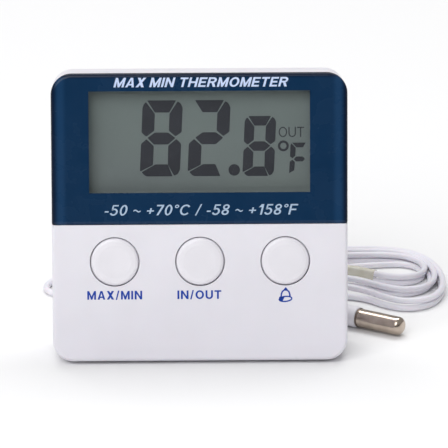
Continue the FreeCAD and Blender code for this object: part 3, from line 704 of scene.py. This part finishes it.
def band(x, z, wide, high, t, start, end):
    """Part of an oval ring of even thickness t, between two angles in degrees."""
    steps = max(4, round(abs(end - start) / 12))
    angles = [math.radians(start + (end - start) * i / steps) for i in range(steps + 1)]
    outer = [(x + wide * math.cos(a), z + high * math.sin(a)) for a in angles]
    return outer + [(x + (wide - t) * math.cos(a), z + (high - t) * math.sin(a)) for a in angles[::-1]]


def oval(x, z, wide, high, t):
    return [band(x, z, wide, high, t, 0, 180), band(x, z, wide, high, t, 180, 360)]


def glyphs(t):
    """Plain upright capitals, figures and signs of height 1 and stroke t: width, then outlines."""
    mid, k, h = 0.5 - t / 2, 1.25 * t, 0.42 * t
    foot = (0.35 - k) / (0.7 - k)
    waist = (0.7 - k) / 2
    lean_in = 0.37 - 1.08 * t
    bridge = [(1.08 * t + lean_in * z / 0.78, z) for z in (0.2, 0.2 + 0.85 * t)]
    wave = [0.56 * i / 12 for i in range(13)]
    swell = [0.42 + 0.08 * math.sin(2 * math.pi * x / 0.56) for x in wave]
    return {
        "I": (t, [bar(0, 0, t, 1)]),
        "T": (0.64, [bar(0, 1 - t, 0.64, 1), bar(0.32 - t / 2, 0, 0.32 + t / 2, 1 - t)]),
        "H": (0.72, [bar(0, 0, t, 1), bar(0.72 - t, 0, 0.72, 1), bar(t, mid, 0.72 - t, mid + t)]),
        "E": (0.62, [bar(0, 0, t, 1), bar(t, 0, 0.62, t), bar(t, 1 - t, 0.62, 1),
                     bar(t, mid, 0.57, mid + t)]),
        "F": (0.58, [bar(0, 0, t, 1), bar(t, 1 - t, 0.58, 1), bar(t, mid - 0.02, 0.52, mid + t - 0.02)]),
        "O": (0.8, oval(0.4, 0.5, 0.4, 0.51, t)),
        "C": (0.75, [band(0.4, 0.5, 0.4, 0.51, t, 40, 320)]),
        "R": (0.72, [bar(0, 0, t, 1), bar(t, 1 - t, 0.41, 1), bar(t, 0.41, 0.41, 0.41 + t),
                     band(0.41, 0.705, 0.28, 0.295, t, -90, 90),
                     [(0.33, 0.41), (0.72 - 1.2 * t, 0), (0.72, 0), (0.33 + 1.2 * t, 0.41)]]),
        "A": (0.74, [[(0, 0), (1.08 * t, 0), (0.37, 0.78), (0.37, 1), (0.37 - 0.55 * t, 1)],
                     [(0.74, 0), (0.37 + 0.55 * t, 1), (0.37, 1), (0.37, 0.78), (0.74 - 1.08 * t, 0)],
                     bridge + [(0.74 - x, z) for x, z in bridge[::-1]]]),
        "M": (0.84, [bar(0, 0, t, 1), bar(0.84 - t, 0, 0.84, 1),
                     [(t, 1), (t, 0.62), (0.42 - 0.4 * t, 0), (0.42, 0), (0.42, 0.38)],
                     [(0.84 - t, 1), (0.42, 0.38), (0.42, 0), (0.42 + 0.4 * t, 0), (0.84 - t, 0.62)]]),
        "N": (0.72, [bar(0, 0, t, 1), bar(0.72 - t, 0, 0.72, 1),
                     [(t, 1), (t, 1 - 1.9 * t), (0.72 - t, 0), (0.72 - t, 1.9 * t)]]),
        "X": (0.7, [[(0, 0), (k, 0), (0.35, foot), (0.7 - k, 0), (0.7, 0), (0.7 - waist, 0.5), (0.7, 1),
                     (0.7 - k, 1), (0.35, 1 - foot), (k, 1), (0, 1), (waist, 0.5)]]),
        "U": (0.7, [bar(0, 0.36, t, 1), bar(0.7 - t, 0.36, 0.7, 1),
                    band(0.35, 0.36, 0.35, 0.37, t, 180, 360)]),
        "/": (0.36, [[(0, -0.04), (0.75 * t, -0.04), (0.36, 1.04), (0.36 - 0.75 * t, 1.04)]]),
        "-": (0.3, [bar(0, 0.3, 0.3, 0.3 + 0.9 * t)]),
        "+": (0.54, [bar(0.27 - h, 0.15, 0.27 + h, 0.69), bar(0, 0.42 - h, 0.27 - h, 0.42 + h),
                     bar(0.27 + h, 0.42 - h, 0.54, 0.42 + h)]),
        "~": (0.56, [[(x, z - h) for x, z in zip(wave, swell)]
                     + [(x, z + h) for x, z in zip(wave[::-1], swell[::-1])]]),
        "°": (0.32, oval(0.16, 0.84, 0.16, 0.16, 0.62 * t)),
        "0": (0.56, oval(0.28, 0.5, 0.28, 0.51, t)),
        "1": (0.4, [bar(0.24, 0, 0.24 + t, 1), [(0.02, 0.7), (0.24, 0.72), (0.24, 1), (0.18, 1)]]),
        "5": (0.56, [bar(0.08, 1 - 0.9 * t, 0.52, 1), bar(0.06, 0.5, 0.06 + 0.85 * t, 1 - 0.9 * t),
                     band(0.26, 0.33, 0.3, 0.34, t, -158, 138)]),
        "7": (0.54, [bar(0, 1 - t, 0.54, 1), [(0.12, 0), (0.12 + 1.1 * t, 0), (0.54, 1 - t),
                                              (0.54 - 1.15 * t, 1 - t)]]),
        "8": (0.56, oval(0.28, 0.755, 0.25, 0.255, 0.9 * t) + oval(0.28, 0.265, 0.28, 0.275, t)),
        " ": (0.2, []),
    }


def lettering(name, text, xs, zs, y, look, slant=0.0, stroke=0.14, gap=0.13, thick=0.05):
    """Text fitted between two x and, by the height of its capitals, two z, on the plane at y."""
    shapes, pen, outlines = glyphs(stroke), 0.0, []
    for sign in text:
        width, parts = shapes[sign]
        outlines += [[(pen + x + z * slant, z) for x, z in outline] for outline in parts]
        pen += width + gap
    low, high = (f(x for outline in outlines for x, z in outline) for f in (min, max))
    wide, tall = (xs[1] - xs[0]) / (high - low), zs[1] - zs[0]
    bm = bmesh.new()
    for outline in outlines:
        prism(bm, [(xs[0] + (x - low) * wide, zs[0] + z * tall) for x, z in outline],
              y - thick / 2, y + thick / 2)
    return piece(name, bm, look)


LABEL_ZS = (14.85, 16.9)
lettering("title", "MAX MIN THERMOMETER", (-20.2, 21.0), (65.25, 67.5), PANEL_FRONT, TITLE_INK,
          slant=0.22, stroke=0.18, gap=0.12)
lettering("legend", "-50 ~ +70°C / -58 ~ +158°F", (-22.5, 23.3), (34.9, 37.4), PANEL_FRONT,
          LEGEND_INK, slant=0.2, stroke=0.14, gap=0.14)
for name, text, xs in (("label_max_min", "MAX/MIN", (-26.75, -13.75)),
                       ("label_in_out", "IN/OUT", (-5.4, 5.0))):
    lettering(name, text, xs, LABEL_ZS, 0.0, LABEL_INK, stroke=0.18, gap=0.15)
lettering("readout_out", "OUT", (18.8, 24.8), (53.0, 55.4), SCREEN_Y, SEGMENT,
          stroke=0.11, gap=0.12)


def on_back(obj):
    """Turns a piece drawn to be read from the front so that it reads from behind, on the back."""
    across = Matrix.Translation((0, CASE_D, 0)) @ Matrix.Diagonal((-1, -1, 1, 1))
    row = METRES @ TO_LEAN
    obj.data.transform(row @ across @ row.inverted())
    return obj


MARK_HALF, MARK_ZS = 1.5, (16.1, 18.1)
for text, x in (("°C", 22.6), ("°F", 13.4)):
    on_back(lettering("unit_mark_" + text[1], text, (x - MARK_HALF, x + MARK_HALF), MARK_ZS, 0.0,
                      WHITE, thick=0.5))


def bell(bm, x, z):
    """The alarm button's sign: a small bell with its crown, skirt and clapper."""
    y0, y1 = -0.03, 0.02
    dome = [(-1.42, 0.95), (-1.02, 1.3), (-0.95, 1.9), (-0.72, 2.5), (-0.25, 2.86), (0.3, 2.86),
            (0.8, 2.5), (1.02, 1.9), (1.1, 1.25)]
    line(bm, [(x + u, z + v) for u, v in dome], 0.36, y0, y1)
    crown = [(x - 0.5, z + 2.9), (x + 0.1, z + 3.55), (x + 0.62, z + 2.9)]
    prism(bm, eased(crown, 0.12), y0, y1)
    skirt = [(x + 0.02 + 1.5 * math.cos(a), z + 0.72 + 0.6 * math.sin(a) + 0.12 * math.cos(a))
             for a in (2 * math.pi * i / 28 for i in range(29))]
    line(bm, skirt, 0.32, y0, y1)
    clapper = [(x - 1.5, z + 0.35), (x - 0.75, z + 0.1), (x - 0.15, z + 1.2), (x - 1.35, z + 1.15)]
    prism(bm, eased(clapper, 0.2), y0, y1)


BELL_Z = 14.0
bm = bmesh.new()
bell(bm, BUTTON_PITCH, BELL_Z)
piece("label_alarm", bm, LABEL_INK)


# ---- Floor, world and lights -------------------------------------------------------------

FLOOR_HALF = 4.0
bm = bmesh.new()
bmesh.ops.create_grid(bm, x_segments=8, y_segments=8, size=FLOOR_HALF)
floor_mesh = bpy.data.meshes.new("floor")
bm.to_mesh(floor_mesh)
bm.free()
floor_look = Look("floor_paper", 0.9, specular=0.0)
floor_look.colour(floor_look.ramp(floor_look.noise(900.0), (0.865, 0.865, 0.87, 1),
                                  (0.875, 0.875, 0.88, 1)))
floor_look.gloss(50.0, 0.03)
floor_mesh.materials.append(floor_look.material)
floor = link(bpy.data.objects.new("floor", floor_mesh))

# The studio is white but for a dark patch low in front, which darkens what glossy faces reflect.
WHITE_WALL, DARK_PATCH, WORLD_STRENGTH = (1.0, 1.0, 1.0, 1.0), (0.03, 0.03, 0.035, 1.0), 0.4
world = bpy.data.worlds.new("studio")
bpy.context.scene.world = world
world.use_nodes = True
world_nodes, world_links = world.node_tree.nodes, world.node_tree.links
direction = world_nodes.new("ShaderNodeTexCoord").outputs["Generated"]
axes = world_nodes.new("ShaderNodeSeparateXYZ")
world_links.new(direction, axes.inputs[0])


def world_span(value, start, end):
    """0 where value is at start, 1 where it is at end, and smooth between them."""
    made = world_nodes.new("ShaderNodeMapRange")
    made.interpolation_type = "SMOOTHSTEP"
    made.inputs["From Min"].default_value = start
    made.inputs["From Max"].default_value = end
    world_links.new(value, made.inputs["Value"])
    return made.outputs[0]


patch = world_nodes.new("ShaderNodeMath")
patch.operation = "MULTIPLY"
world_links.new(world_span(axes.outputs["Y"], -0.35, -0.75), patch.inputs[0])
world_links.new(world_span(axes.outputs["Z"], 0.5, 0.2), patch.inputs[1])
walls = world_nodes.new("ShaderNodeMix")
walls.data_type = "RGBA"
walls.inputs[MIX_UNDER].default_value = WHITE_WALL
walls.inputs[MIX_ABOVE].default_value = DARK_PATCH
world_links.new(patch.outputs[0], walls.inputs["Factor"])
world_links.new(walls.outputs[MIX_COLOUR], world_nodes["Background"].inputs["Color"])
world_nodes["Background"].inputs["Strength"].default_value = WORLD_STRENGTH


def lamp(name, place, aim, size, power):
    """A white rectangular lamp at place, which faces aim."""
    light = bpy.data.lights.new(name, "AREA")
    light.shape = "RECTANGLE"
    light.size, light.size_y = size
    light.energy = power
    obj = link(bpy.data.objects.new(name, light))
    obj.location = place
    obj.rotation_mode = "QUATERNION"
    obj.rotation_quaternion = (Vector(aim) - Vector(place)).to_track_quat("-Z", "Y")


lamp("key", (-0.5, -1.0, 1.05), (0, 0, 0.03), (1.3, 1.1), 16.3)
lamp("top", (0.05, 0.5, 1.2), (0, 0, 0.0), (1.1, 0.5), 8.2)

bpy.context.scene.view_settings.view_transform = "Standard"
